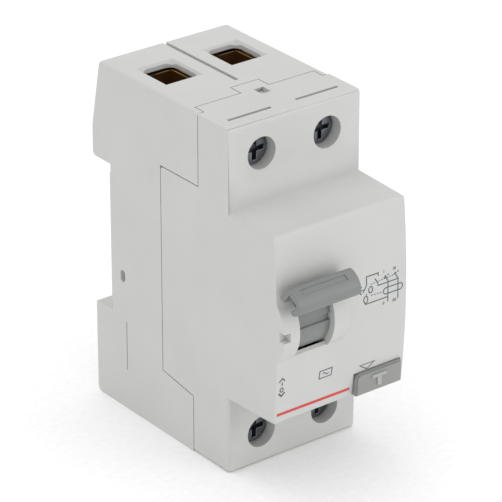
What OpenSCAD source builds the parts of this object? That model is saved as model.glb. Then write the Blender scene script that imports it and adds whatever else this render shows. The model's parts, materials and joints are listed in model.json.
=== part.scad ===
// Two-pole residual current device for a 35 mm rail, two modules wide.
// Millimetres. +Z up, X across the width, the front faces -Y and the rail is at +Y.
// The origin is the centre of the face that sits on the rail.

/* [Housing] */
// Width of one module; the device is two modules wide
module_w = 18; // [17:0.1:22]
// Height of the housing
body_h = 83.8; // [80:0.1:110]
// Depth from the rail face to the terminal faces
shoulder_d = 44; // [43.8:0.1:44.2]
// Height of the raised nose
nose_h = 45; // [44:0.1:46]
// How far the crown of the nose stands in front of the terminal faces
nose_d = 17; // [16.8:0.1:17.2]
// Radius of the shallow crown across the nose
crown_r = 203; // [150:1:400]
// Wall thickness of the mouldings
wall = 1.6; // [1.5:0.05:1.7]
// Open seam between base and cover
seam = 0.25; // [0.1:0.05:0.4]

/* [Rail] */
// Width of the top-hat rail
rail_w = 35; // [35:0.1:35.4]
// Play above and below the rail in the recess
rail_play = 0.9; // [0.5:0.1:1]
// How far the rear blocks reach behind the rail face
rear_d = 6.4; // [6:0.1:8]
// Thickness of the rail flange
flange_t = 1; // [1:0.1:1.2]
// Width of the sliding rail clip
clip_w = 11; // [9:0.1:13]
// Thickness of the sliding rail clip
clip_t = 1.8; // [1.5:0.1:2]
// Travel that frees the rail
clip_travel = 3.5; // [3:0.1:3.8]

/* [Terminals] */
// Distance of the screw axes from the top and bottom faces
term_inset = 7.8; // [7.6:0.1:9]
// Bore of the screw wells
well_d = 7.6; // [7.4:0.1:8]
// Depth of the screw seat behind the terminal face
well_depth = 5.6; // [5:0.1:11]
// Diameter of the screw heads
head_d = 6.8; // [6:0.1:7]
// Height of the screw heads
head_h = 2.9; // [2.5:0.1:3.2]
// Diameter of the screw shanks
screw_d = 5; // [4:0.1:5.4]
// Outside width and height of a clamp cage
cage_w = 10.6; // [10:0.1:11]
// Sheet thickness of a clamp cage
cage_t = 1; // [0.8:0.1:1.1]
// Thickness of the threaded plate of a clamp cage
cage_nut_t = 2.5; // [2:0.1:3]
// Depth of a clamp cage along the screw
cage_d = 17.2; // [16:0.1:18]
// Travel of a clamp cage
cage_travel = 6.4; // [5:0.1:7]
// Width of a cable entry
entry_w = 9; // [8:0.1:9.4]
// Depth of a cable entry, front to back
entry_d = 10.3; // [9:0.1:10.6]
// Thickness of the terminal strips
strip_t = 1.5; // [1.2:0.1:1.6]
// Width of the terminal strips
strip_w = 6.6; // [5:0.1:7]

/* [Toggle] */
// Distance of the toggle axis in front of the terminal faces
toggle_ahead = 9.4; // [9.3:0.1:9.5]
// Radius of the drum seen in the window
drum_r = 8.8; // [8.6:0.1:8.9]
// Radius of the white cheeks beside the drum
cheek_r = 10.2; // [10:0.1:10.6]
// Width of the window between the cheeks
window_w = 9.5; // [9.3:0.1:9.7]
// Width of the handle
handle_w = 17; // [15:0.1:17.4]
// Diameter of the toggle axle
axle_d = 3; // [2.6:0.1:3.2]
// Swing of the toggle from on to off, in degrees
toggle_swing = 72; // [66:1:74]
// Radius of the crank that drives the link
crank_r = 5; // [4.9:0.1:5.1]

/* [Contacts] */
// Diameter of the contact axle
contact_axle_d = 2.5; // [2:0.1:3]
// Radius of the insulating contact shaft
shaft_r = 3.2; // [3:0.1:3.3]
// Reach of the moving contact from the shaft axis
arm_reach = 16.6; // [15:0.1:17.5]
// Width of a moving contact arm
arm_w = 4.8; // [4:0.1:5]
// Thickness of a moving contact arm
arm_t = 1.3; // [1:0.1:1.5]
// Diameter of the contact buttons
contact_d = 4; // [3:0.1:4.4]

/* [Current transformer] */
// Outside diameter of the winding
ring_od = 25.2; // [24:0.1:26]
// Inside diameter of the winding
ring_id = 10.4; // [9:0.1:11]
// Height of the wound ring
ring_h = 10.4; // [9:0.1:10.6]
// Build of the winding on the case
winding_t = 0.9; // [0.6:0.1:1.1]
// Diameter of the flexible leads through the ring
lead_d = 2.2; // [1.6:0.1:2.4]

/* [Trip relay] */
// Width of the relay
relay_w = 12; // [11:0.1:12.2]
// Depth of the relay
relay_d = 11; // [10:0.1:11]
// Height of the relay
relay_h = 18; // [17:0.1:18]
// Diameter of the plunger
plunger_d = 3; // [2.5:0.1:3.2]
// Stroke of the plunger
plunger_travel = 1.5; // [1:0.1:1.5]

/* [Test button] */
// Width of the test button
button_w = 13; // [11:0.1:13.2]
// Height of the test button
button_h = 5.4; // [5.2:0.1:5.8]
// Distance of the button from the right side
button_inset = 1; // [0.9:0.1:2]
// Travel of the test button
button_travel = 1.3; // [1:0.1:1.4]

/* [Hidden] */
$fn = 48;

// Clearances
run = 0.05; // between a pin and its bore
gap = 0.3; // between parts that move past each other
loose = 0.2; // between parts that lie in a pocket

// Colours
housing_grey = "#D0D1CF";
handle_grey = "#858783";
button_grey = "#91938F";
steel = "#B4B6B8";
dark_steel = "#6E7073";
copper = "#B87552";
bronze = "#B08A5A";
silver = "#D9D9D6";
black_plastic = "#2E3033";
natural_plastic = "#DAD6C8";
green_plastic = "#5E7C6B";
enamel_red = "#8C3A1E";
wire_blue = "#3F6FA8";
wire_brown = "#7A4A32";

// Housing
top_z = body_h / 2;
in_x = module_w - wall;
in_z = top_z - wall;
nose_y = -shoulder_d - nose_d;
nose_z = nose_h / 2;
nose_in_y = nose_y + 2.8;
nose_in_z = nose_z - wall;
nose_draft = 0.9;
edge_r = 1;
seam_y = -shoulder_d + 10.7;
seam_back_y = -shoulder_d + 24.5;
seam_low_y = -shoulder_d + 13;
seam_z = nose_z + 2.1;
seam_low_z = nose_z + 3.4;
lip_x = module_w - 1.8;
lip_d = 3.2;
tab_x = 3.7;
tab_d = 3.8;

// Rail recess: fixed lip above, sliding clip below
recess_top = rail_w / 2 + rail_play - 0.2;
recess_bottom = -rail_w / 2 - rail_play - 0.3;
lip_y = flange_t + 0.5;
lip_bite = 2;
clip_tip = recess_bottom + 2.3;
relief_d = 0.3;
clip_y = flange_t + 0.4;
clip_low = -top_z + 0.7;
clip_window = [clip_low + 4, clip_low + 11.7 + clip_travel];
peg_z = [clip_window[0] + 0.2, clip_window[0] + 1.4];

// Terminals
pole_x = module_w / 2;
term_z = top_z - term_inset;
well_y = -shoulder_d + well_depth;
seat_t = 1.2;
strip_y = -18.9;
tip_gap = 1;
cage_front = strip_y - 0.6 - cage_nut_t;
cage_z = term_z + 0.2;
shelf_z = cage_z - cage_w / 2 - 1.6;
shelf_t = 1.4;
strip_end = term_z + 5.2;
entry_y = cage_front + cage_d - cage_t - 0.1 - entry_d / 2 + 0.2;
funnel = 0.9;
groove_w = 1;
rib_t = 2.4;
bay_front = cage_front - 2;
guide_t = 0.8;
guide_front = cage_front - cage_travel + 2.4;

// Toggle
toggle_x = -pole_x;
toggle_y = -shoulder_d - toggle_ahead;
drum_w = window_w - 2 * loose;
drum_from = -42;
drum_to = 98;
groove_to = 10.5;
stem_angle = 39;
stem_t = 1.6;
stem_r = 14;
slot_up = stem_angle + 8;
slot_down = toggle_swing - stem_angle + 8;
hub_r = axle_d / 2 + 1.1;
lug_y = toggle_y + axle_d / 2 + 1.4;
crank_y = toggle_y + crank_r * cos(stem_angle);
crank_z = -crank_r * sin(stem_angle);
pin_d = 1.6;

// Contact mechanism
shaft_y = toggle_y + 23.4;
shaft_z = 10;
shaft_end = in_x - 1.8;
latch_y = shaft_y - 15.7;
latch_z = shaft_z - 3;
arm_z = shaft_z + shaft_r + 0.1;
contact_y = shaft_y + arm_reach;
contact_z = arm_z + arm_t + 1;
contact_foot_z = contact_z + 0.1 + 1;
fork_in = 2.9;
fork_out = 4.6;
cheek_x = in_x - 0.2;
cheek_t = 1.2;
trip_y = shaft_y - 17;
trip_z = shaft_z + 8.3;
mech_top = nose_in_z - gap;
mech_low = -14;
trip_r = 2;
trip_axle_d = 2;

// Current transformer
ring_y = -4.4 - ring_od / 2;
ring_z = -10;
case_od = ring_od - 2 * winding_t - 0.2;
case_id = ring_id + 2 * winding_t + 0.2;
case_h = ring_h - 2 * winding_t - 0.2;
case_t = 0.8;
ring_shelf_z = ring_z - ring_h / 2 - 0.2;
lead_x = 2.2;
load_top = ring_shelf_z - 4.7;

// Trip relay
relay_x = in_x - 1.8 - relay_w / 2;
relay_y = shaft_y - 10.5;
relay_top = 6;
relay_wall = 0.8;
relay_low = relay_top - relay_h;
plunger_top = relay_top + 2;
plunger_tip_d = 1.6;
plunger_flange_t = 0.8;
flange_z = relay_top - relay_wall - plunger_flange_t - plunger_travel - 0.4;

// Test button
button_x = module_w - button_inset - button_w / 2;
button_low = -nose_z + 0.1;
button_top = button_low + button_h;
button_y = nose_y - 0.4;
cap_step = 0.3;
button_back = nose_in_y + 1.5;
stem_z = -nose_in_z + 2.7;
stem_d = 3;
stem_end = shaft_y - 18;
bracket_y = button_back + 6.2;
bracket_t = 1.2;
blade_y = stem_end + button_travel + gap;
blade_t = 0.4;
resistor_y = blade_y + 4;
resistor_l = 7;
resistor_wire = 2;
blade_post = in_x - 1.2;

// Springs and leads
coil_steps = 12;
tube_sides = 8;

function unit(v) = v / norm(v);
function heading(p, i) = unit(p[min(i + 1, len(p) - 1)] - p[max(i - 1, 0)]);
// One ring of a tube; aside is a direction that the path never takes
function ring_points(p, i, r, aside) =
    let (t = heading(p, i), u = unit(cross(t, aside)), v = cross(t, u))
    [for (k = [0:tube_sides - 1]) let (b = k * 360 / tube_sides) p[i] + r * (cos(b) * u + sin(b) * v)];
function helix(r, length, turns) =
    [for (i = [0:turns * coil_steps]) let (a = i * 360 / coil_steps)
        [r * cos(a), r * sin(a), length * i / (turns * coil_steps)]];
function bezier(a, b, c, d, n) =
    [for (i = [0:n]) let (t = i / n, s = 1 - t)
        s * s * s * a + 3 * s * s * t * b + 3 * s * t * t * c + t * t * t * d];
function tail(list) = [for (i = [1:len(list) - 1]) list[i]];
function arc(y, z, r, from, to, n = 6) =
    [for (i = [0:n]) let (a = from + (to - from) * i / n) [y + r * cos(a), z + r * sin(a)]];
// A place in the toggle's own frame: forward of its axis, above its axis
function toggle_at(forward, up) = [toggle_y - forward, up];
// A place on the toggle's stem: out from the axis along the stem, and beside its middle
function stem_at(out, beside) =
    toggle_at(out * cos(stem_angle) - beside * sin(stem_angle),
        out * sin(stem_angle) + beside * cos(stem_angle));

// Box between two corners, given as ranges along X, Y and Z
module block(x, y, z) {
    translate([x[0], y[0], z[0]])
        cube([x[1] - x[0], y[1] - y[0], z[1] - z[0]]);
}

// Round bars along each axis
module rod_x(r, x, y, z) {
    translate([x[0], y, z])
        rotate([0, 90, 0])
            cylinder(r = r, h = x[1] - x[0]);
}

module rod_y(r, y, x, z) {
    translate([x, y[0], z])
        rotate([-90, 0, 0])
            cylinder(r = r, h = y[1] - y[0]);
}

module rod_z(r, z, x, y) {
    translate([x, y, z[0]])
        cylinder(r = r, h = z[1] - z[0]);
}

// Outline in the Y-Z plane, extruded across the width
module side_extrude(x, outline) {
    translate([x[0], 0, 0])
        rotate([90, 0, 90])
            linear_extrude(x[1] - x[0])
                polygon(outline);
}

// Outline in the X-Z plane, extruded from front to back
module front_extrude(y, outline) {
    translate([0, y[1], 0])
        rotate([90, 0, 0])
            linear_extrude(y[1] - y[0])
                polygon(outline);
}

// Flat bar with round ends between two points of the Y-Z plane
module link_bar(x, from, to, r) {
    reach = norm(to - from);
    rod_x(r, x, from[0], from[1]);
    rod_x(r, x, to[0], to[1]);
    translate([x[0], from[0], from[1]])
        rotate([atan2(to[1] - from[1], to[0] - from[0]), 0, 0])
            translate([0, 0, -r])
                cube([x[1] - x[0], reach, 2 * r]);
}

// Closed round tube along a list of points
module tube(path, r, aside = [1, 1, 0.2]) {
    rings = len(path);
    points = [for (i = [0:rings - 1]) each ring_points(path, i, r, aside)];
    sides = [for (i = [0:rings - 2], k = [0:tube_sides - 1]) let (n = (k + 1) % tube_sides)
        [i * tube_sides + k, (i + 1) * tube_sides + k, (i + 1) * tube_sides + n, i * tube_sides + n]];
    first = [for (k = [0:tube_sides - 1]) k];
    last = [for (k = [tube_sides - 1:-1:0]) (rings - 1) * tube_sides + k];
    polyhedron(points, concat([first], sides, [last]), convexity = 8);
}

// Coil spring along +Z, standing on the origin
module coil(mean_r, wire_d, length, turns) {
    translate([0, 0, wire_d / 2])
        tube(helix(mean_r, length - wire_d, turns), wire_d / 2, [0, 0, 1]);
}

// Copies for the upper and lower ends, and for the two poles
module both_ends() {
    children();
    mirror([0, 0, 1]) children();
}

module both_poles() {
    children();
    mirror([1, 0, 0]) children();
}

// ---- Housing ----

module base_outline_solid() {
    side_extrude([-module_w, module_w], concat(
        [[seam_y + seam, top_z], [rear_d - 3.2, top_z], [rear_d, recess_top + 7.2]],
        arc(rear_d - edge_r, recess_top + edge_r, edge_r, 0, -90),
        [[0, recess_top], [0, recess_bottom], [rear_d - 0.2, recess_bottom]],
        arc(rear_d - 1.7, -top_z + 1.5, 1.5, 0, -90),
        [[seam_low_y + seam, -top_z], [seam_low_y + seam, -seam_low_z - 2]],
        [[seam_low_y + 0.4 + seam, -seam_low_z - 1.7 - seam], [seam_back_y + seam, -seam_low_z - seam]],
        [[seam_back_y + seam, seam_z + seam], [seam_y + seam, seam_z + seam]]
    ));
}

// Lip and snap tab with which the cover laps over the base, at the upper end
module cover_lip(from_y, grow) {
    high = [in_z - grow, top_z + grow];
    lip_end = from_y + lip_d + grow;
    block([-lip_x - grow, lip_x + grow], [from_y - 1, lip_end], high);
    block([-tab_x - grow, tab_x + grow], [from_y, lip_end + tab_d], high);
}

module cable_entry(x) {
    half_w = entry_w / 2;
    half_d = entry_d / 2;
    corner = 2;
    low = in_z - 1;
    high = top_z + 1;
    block([x - half_w + corner, x + half_w - corner], [entry_y - half_d, entry_y + half_d], [low, high]);
    block([x - half_w, x + half_w], [entry_y - half_d + corner, entry_y + half_d - corner], [low, high]);
    for (sx = [-1, 1], sy = [-1, 1])
        rod_z(corner, [low, high], x + sx * (half_w - corner), entry_y + sy * (half_d - corner));
    intersection() {
        side_extrude([x - half_w - funnel, x + half_w + funnel], [
            [entry_y - half_d + 0.3, top_z - funnel], [entry_y + half_d - 0.3, top_z - funnel],
            [entry_y + half_d + funnel - 0.3, top_z + 0.1], [entry_y - half_d - funnel + 0.3, top_z + 0.1]]);
        front_extrude([entry_y - half_d - funnel, entry_y + half_d + funnel], [
            [x - half_w + 0.3, top_z - funnel], [x + half_w - 0.3, top_z - funnel],
            [x + half_w + funnel - 0.3, top_z + 0.1], [x - half_w - funnel + 0.3, top_z + 0.1]]);
    }
}

// Partition, shelf and cage guides of the upper end
module terminal_bay() {
    block([-in_x - 0.1, in_x + 0.1], [seam_back_y + 1, -wall + 0.1], [shelf_z - shelf_t, shelf_z]);
    block([-in_x + 0.1, in_x - 0.1], [bay_front, seam_back_y + 1.1], [shelf_z - shelf_t, shelf_z]);
    block([-rib_t / 2, rib_t / 2], [bay_front, -wall + 0.1], [shelf_z - 5.5, in_z + 0.1]);
    both_poles()
        for (side = [-1, 1])
            translate([pole_x + side * (cage_w / 2 + loose + guide_t / 2), 0, 0])
                block([-guide_t / 2, guide_t / 2], [guide_front, -wall + 0.1], [shelf_z - 0.1, in_z + 0.1]);
}

// Cheeks that carry the contact axle and the trip axle, with the transformer's shelf
module mechanism_walls() {
    both_poles() {
        block([cheek_x - cheek_t, cheek_x], [trip_y - 2.5, -wall + 0.1], [mech_low, mech_top]);
        block([cheek_x - 0.1, in_x + 0.1], [seam_back_y + 1, -wall + 0.1], [mech_low, mech_top]);
    }
    ring_shelf = [ring_shelf_z - 1.3, ring_shelf_z];
    block([-in_x - 0.1, in_x + 0.1], [seam_back_y + 1, -wall + 0.1], ring_shelf);
    block([-in_x + 0.1, in_x - 0.1], [ring_y - ring_od / 2, seam_back_y + 1.1], ring_shelf);
    block([relay_x - relay_w / 2, cheek_x], [relay_y - relay_d / 2 - 0.5, relay_y + relay_d / 2 + 0.5],
        [relay_low - 1.3, relay_low - 0.1]);
}

module rear_base() color(housing_grey) difference() {
    union() {
        difference() {
            base_outline_solid();
            block([-in_x, in_x], [-shoulder_d, -wall], [-in_z, in_z]);
            both_poles()
                block([rib_t / 2, in_x], [-wall - 1, wall], [recess_top + 3.8, in_z]);
        }
        block([-10, 10], [lip_y, lip_y + 1.8], [recess_top - lip_bite, recess_top + 0.1]);
        both_ends() terminal_bay();
        mechanism_walls();
    }
    cover_lip(seam_y, seam);
    mirror([0, 0, 1]) cover_lip(seam_low_y - 0.4, seam);
    both_ends() both_poles() {
        cable_entry(pole_x);
        block([pole_x - strip_w / 2 - gap, pole_x + strip_w / 2 + gap],
            [strip_y - gap, strip_y + strip_t + gap], [shelf_z - shelf_t - 1, shelf_z + 1]);
    }
    block([-groove_w / 2, groove_w / 2], [-23.6, rear_d], [top_z - 1.2, top_z + 1]);
    rod_z(ring_id / 2 + 0.3, [ring_shelf_z - 3, ring_shelf_z + 1], 0, ring_y);
    rod_x(contact_axle_d / 2 + run, [-cheek_x - 1, cheek_x + 1], shaft_y, shaft_z);
    rod_x(trip_axle_d / 2 + run, [-cheek_x - 1, cheek_x + 1], trip_y, trip_z);
    clip_channel();
    seat_relief();
    for (z = [-8.9, -7.7])
        rod_x(0.9, [-module_w - 1, -module_w + 1.2], -4.4, z);
    block([-module_w - 1, -module_w + 1.2], [-5.3, -3.5], [-8.9, -7.7]);
    block([-module_w - 1, -module_w + 0.3], [-5.7, -5.4], [-top_z + 10, recess_bottom - 0.8]);
}

// Shallow steps beside the rail's seat, behind the fixed lip and the clip's tip
module seat_relief() {
    block([-module_w - 1, module_w + 1], [-relief_d, 1], [recess_top - lip_bite - 0.2, recess_top]);
    block([-module_w - 1, module_w + 1], [-relief_d, 1], [recess_bottom, clip_tip + 0.2]);
}

module clip_channel() {
    difference() {
        block([-clip_w / 2 - loose, clip_w / 2 + loose], [clip_y - loose, clip_y + clip_t + loose],
            [-top_z - 1, recess_bottom + 1]);
        block([-1.6, 1.6], [clip_y - 1, clip_y + clip_t + 1], peg_z);
    }
    block([-clip_w / 2 + 1.5, clip_w / 2 - 1.5], [clip_y + clip_t + 1.2, rear_d + 1],
        [-top_z - 1, recess_bottom + 1]);
    block([-clip_w / 2 + 1.5, clip_w / 2 - 1.5], [clip_y + clip_t - 0.5, rear_d + 1],
        [-top_z + 17, recess_bottom + 1]);
    block([-clip_w / 2 + 1.5, clip_w / 2 - 1.5], [clip_y + clip_t - 0.5, rear_d + 1],
        [-top_z - 1, clip_window[0] - 1]);
}

module cover_solid() {
    side_extrude([-module_w, module_w], concat(
        [[seam_y, top_z]],
        arc(-shoulder_d + edge_r, top_z - edge_r, edge_r, 90, 180),
        [[-shoulder_d, -top_z], [seam_low_y, -top_z], [seam_low_y, -seam_low_z - 2]],
        [[seam_low_y + 0.4, -seam_low_z - 1.7], [seam_back_y, -seam_low_z]],
        [[seam_back_y, seam_z - 0.6], [seam_back_y - 0.6, seam_z], [seam_y, seam_z]]
    ));
    intersection() {
        side_extrude([-module_w, module_w], [[-shoulder_d + 1, nose_z + 0.1], [nose_y + 1, nose_z - 0.1],
            [nose_y - 1, nose_z - 0.1], [nose_y - 1, -nose_z - 0.1], [nose_y + 1, -nose_z - 0.1],
            [-shoulder_d + 1, -nose_z - 0.1 - nose_draft]]);
        rod_x(crown_r, [-module_w, module_w], nose_y + crown_r, -1.5, $fn = 360);
    }
    intersection() {
        union() {
            rod_x(cheek_r, [-module_w, toggle_x - window_w / 2], toggle_y, 0);
            rod_x(cheek_r, [toggle_x + window_w / 2, 0], toggle_y, 0);
        }
        block([-module_w, module_w], [nose_y - 5, nose_in_y], [-nose_z, nose_z]);
    }
}

module front_cover() color(housing_grey) difference() {
    union() {
        difference() {
            cover_solid();
            block([-in_x, in_x], [-shoulder_d + wall, seam_back_y + 1], [-in_z, in_z]);
            block([-in_x, in_x], [nose_in_y, -shoulder_d + wall + 1], [-nose_in_z, nose_in_z]);
        }
        cover_lip(seam_y, 0);
        mirror([0, 0, 1]) cover_lip(seam_low_y - 0.4, 0);
        both_ends() both_poles()
            rod_y(well_d / 2 + 1.2, [-shoulder_d + 1, well_y + seat_t], pole_x, term_z);
        for (x = [[toggle_x - window_w / 2 - 1.9, toggle_x - window_w / 2 - 0.1],
                  [toggle_x + window_w / 2 + 0.1, toggle_x + window_w / 2 + 1.9]])
            block(x, [nose_in_y - 0.1, lug_y], [-4, 4]);
        block([button_x - 5, in_x + 0.1], [bracket_y, bracket_y + bracket_t],
            [-nose_in_z - 0.1, stem_z + 3.1]);
        block([blade_post, in_x + 0.1], [blade_y - 1, blade_y + 1.4], [stem_z - 2, stem_z + 2]);
    }
    both_ends() both_poles() {
        rod_y(well_d / 2, [-shoulder_d - 1, well_y], pole_x, term_z);
        rod_y(screw_d / 2 + 0.15, [well_y - 1, well_y + 3], pole_x, term_z);
        block([pole_x + 0.2 - 5.85, pole_x + 0.2 + 5.85], [-shoulder_d + 3.65, -shoulder_d + 4.55],
            [in_z - 1, top_z + 1]);
    }
    side_extrude([-0.5, 2.1], [[-shoulder_d + 10.9, top_z - 1], [-shoulder_d + 14.3, top_z - 1],
        [-shoulder_d + 13.4, top_z + 1], [-shoulder_d + 10.9, top_z + 1]]);
    rod_x(drum_r + gap, [toggle_x - window_w / 2, toggle_x + window_w / 2], toggle_y, 0);
    side_extrude([toggle_x - window_w / 2, toggle_x + window_w / 2], [
        toggle_at(0, 0), toggle_at(14 * cos(slot_up), 14 * sin(slot_up)),
        toggle_at(14, 0), toggle_at(14 * cos(slot_down), -14 * sin(slot_down))]);
    rod_x(axle_d / 2 + run, [toggle_x - window_w / 2 - 2.5, toggle_x + window_w / 2 + 2.5], toggle_y, 0);
    block([-module_w - 1, -module_w + 1.7], [toggle_y - cheek_r - 1, toggle_y - cheek_r + 1.8], [-1.2, 1]);
    block([button_x - button_w / 2 - 0.15, button_x + button_w / 2 + 0.15],
        [nose_y - 2, button_back + button_travel + 0.5], [-nose_z - 2, button_top + 0.15]);
    rod_y(stem_d / 2 + run, [bracket_y - 1, bracket_y + bracket_t + 1], button_x, stem_z);
}

// ---- Rail clip ----

module rail_clip() color(black_plastic) difference() {
    side_extrude([-clip_w / 2, clip_w / 2], [[clip_y, clip_low], [clip_y + clip_t, clip_low],
        [clip_y + clip_t, clip_tip - 1.4], [clip_y + 1.2, clip_tip], [clip_y, clip_tip]]);
    block([-2, 2], [clip_y - 1, clip_y + clip_t + 1], clip_window);
    block([-2.5, 2.5], [clip_y - 1, clip_y + clip_t + 1], [clip_low + 1.2, clip_low + 2.4]);
}

module rail_clip_spring() color(steel)
    translate([0, clip_y + clip_t / 2, peg_z[1]])
        coil(0.65, 0.35, clip_window[1] - peg_z[1] - 0.2, 10);

// ---- Toggle ----

module drum_sector(r, x, from, to) {
    far = 2 * r;
    mid = (from + to) / 2;
    intersection() {
        rod_x(r, x, toggle_y, 0);
        side_extrude(x, [toggle_at(0, 0), toggle_at(far * cos(from), far * sin(from)),
            toggle_at(far * cos(mid), far * sin(mid)), toggle_at(far * cos(to), far * sin(to))]);
    }
}

module toggle_lever() color(handle_grey) {
    drum_x = [toggle_x - drum_w / 2, toggle_x + drum_w / 2];
    web_x = [toggle_x - 1.2, toggle_x + 1.2];
    handle_x = [toggle_x - handle_w / 2, toggle_x + handle_w / 2];
    difference() {
        union() {
            difference() {
                union() {
                    drum_sector(drum_r, drum_x, groove_to, drum_to);
                    drum_sector(drum_r - 0.8, drum_x, -1, groove_to + 1);
                    drum_sector(drum_r - 0.2, drum_x, drum_from, 0);
                }
                rod_x(drum_r - 1.5, [drum_x[0] - 1, web_x[0]], toggle_y, 0);
                rod_x(drum_r - 1.5, [web_x[1], drum_x[1] + 1], toggle_y, 0);
            }
            rod_x(hub_r, drum_x, toggle_y, 0);
            for (x = [[toggle_x - 2.6, toggle_x - 1.2], [toggle_x + 1.2, toggle_x + 2.6]])
                link_bar(x, [toggle_y, 0], [crank_y, crank_z], pin_d / 2 + 1);
            side_extrude(drum_x, [stem_at(drum_r - 0.8, -stem_t / 2), stem_at(stem_r, -stem_t / 2),
                stem_at(stem_r, stem_t / 2), stem_at(drum_r - 0.8, stem_t / 2)]);
            handle_hood(handle_x, drum_x);
        }
        rod_x(axle_d / 2 + run, [drum_x[0] - 1, drum_x[1] + 1], toggle_y, 0);
        rod_x(pin_d / 2, [toggle_x - 3, toggle_x + 3], crank_y, crank_z);
    }
}

// Roof-shaped handle, hollow from below on both sides of the stem
module handle_hood(handle_x, stem_x) {
    difference() {
        side_extrude(handle_x, [toggle_at(7.95, 9.1), toggle_at(10.1, 11.7), toggle_at(10.7, 12.1),
            toggle_at(11.4, 12.0), toggle_at(12.5, 11.4), toggle_at(13.3, 10.8), toggle_at(13.9, 10.1),
            toggle_at(14.3, 9.4), toggle_at(14.5, 8.6), toggle_at(14.5, 7.8), toggle_at(14.25, 7.1),
            toggle_at(12.3, 6.1)]);
        for (x = [[handle_x[0] - 1, stem_x[0]], [stem_x[1], handle_x[1] + 1]])
            side_extrude(x, [toggle_at(9.3, 8.2), toggle_at(10.95, 10.6), toggle_at(13.2, 9.1),
                toggle_at(13.1, 8.0), toggle_at(11.6, 7.2), toggle_at(10.6, 5.5), toggle_at(8.6, 7)]);
        side_extrude([handle_x[0] + 2.2, handle_x[1] - 2.6], [toggle_at(12.1, 12.3), toggle_at(13.9, 11.2),
            toggle_at(12.95, 10.8), toggle_at(11.8, 11.52)]);
    }
}

module toggle_axle() color(steel)
    rod_x(axle_d / 2, [toggle_x - window_w / 2 - 1.9, toggle_x + window_w / 2 + 1.9], toggle_y, 0);

module toggle_spring() color(steel)
    translate([toggle_x - drum_w / 2 + 0.2, toggle_y, 0])
        rotate([0, 90, 0])
            coil(hub_r + 0.9, 0.5, 1.9, 2);

module crank_pin() color(steel)
    rod_x(pin_d / 2, [toggle_x - 2.6, toggle_x + 2.6], crank_y, crank_z);

module toggle_link() color(dark_steel) difference() {
    union() {
        link_bar([toggle_x - 0.9, toggle_x + 0.9], [crank_y, crank_z], [latch_y, latch_z], pin_d / 2 + 0.8);
        rod_x(pin_d / 2 + 2.4, [toggle_x - 0.9, toggle_x + 0.9], latch_y, latch_z);
    }
    rod_x(pin_d / 2 + run, [toggle_x - 2, toggle_x + 2], crank_y, crank_z);
    rod_x(pin_d / 2 + 1.5, [toggle_x - 2, toggle_x + 2], latch_y, latch_z);
}

// ---- Contact mechanism ----

module latch_lever() color(dark_steel) difference() {
    for (side = [-1, 1])
        translate([toggle_x + side * (fork_in + fork_out) / 2, 0, 0]) {
            half = (fork_out - fork_in) / 2;
            link_bar([-half, half], [shaft_y, shaft_z], [latch_y, latch_z], 1.7);
            rod_x(shaft_r + 1.2, [-half, half], shaft_y, shaft_z);
        }
    rod_x(shaft_r + run, [toggle_x - 6, toggle_x + 6], shaft_y, shaft_z);
    rod_x(pin_d / 2, [toggle_x - 6, toggle_x + 6], latch_y, latch_z);
}

module latch_pin() color(steel)
    rod_x(pin_d / 2, [toggle_x - fork_out, toggle_x + fork_out], latch_y, latch_z);

module contact_carrier() color(black_plastic) difference() {
    union() {
        rod_x(shaft_r, [-shaft_end + 0.2, shaft_end - 0.2], shaft_y, shaft_z);
        both_poles() {
            seat_x = [pole_x - 2, pole_x + 2];
            hook_top = arm_z + arm_t + 1.2;
            // shelf under the contact spring, then the hook over the root of the arm
            block(seat_x, [shaft_y, shaft_y + 9], [shaft_z - 1.4, shaft_z]);
            block(seat_x, [shaft_y - 4.9, shaft_y], [shaft_z - 1, shaft_z + 1]);
            block(seat_x, [shaft_y - 4.9, shaft_y - 3.7], [shaft_z - 1, hook_top]);
            block(seat_x, [shaft_y - 4.9, shaft_y - 2.6], [hook_top - 1.1, hook_top]);
        }
    }
    rod_x(contact_axle_d / 2 + run, [-module_w, module_w], shaft_y, shaft_z);
}

module contact_axle() color(steel)
    rod_x(contact_axle_d / 2, [-cheek_x, cheek_x], shaft_y, shaft_z);

module opening_spring() color(steel)
    translate([-2, shaft_y, shaft_z])
        rotate([0, 90, 0])
            coil(shaft_r + 1, 0.8, 4, 3.5);

module moving_contact(x) {
    color(copper)
        block([x - arm_w / 2, x + arm_w / 2], [shaft_y - 3.4, contact_y + contact_d / 2 + 0.4],
            [arm_z, arm_z + arm_t]);
    color(silver)
        rod_z(contact_d / 2, [arm_z + arm_t - 0.1, contact_z], x, contact_y);
}

module contact_spring(x) color(steel)
    translate([x, shaft_y + 6, shaft_z + 0.05])
        coil(1.5, 0.5, arm_z - shaft_z - 0.15, 3);

// ---- Fixed conductors ----

module line_strip(x) {
    pad = contact_d / 2 + 0.4;
    foot_y = [min(strip_y, contact_y - pad), max(strip_y + strip_t, contact_y + pad)];
    across = [x - strip_w / 2, x + strip_w / 2];
    color(copper) {
        block(across, [strip_y, strip_y + strip_t], [contact_foot_z, strip_end]);
        block(across, foot_y, [contact_foot_z, contact_foot_z + strip_t]);
    }
    color(silver)
        rod_z(contact_d / 2, [contact_z + 0.1, contact_foot_z + 0.1], x, contact_y);
}

module load_strip(x) color(copper)
    block([x - strip_w / 2, x + strip_w / 2], [strip_y, strip_y + strip_t], [-strip_end, load_top]);

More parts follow.
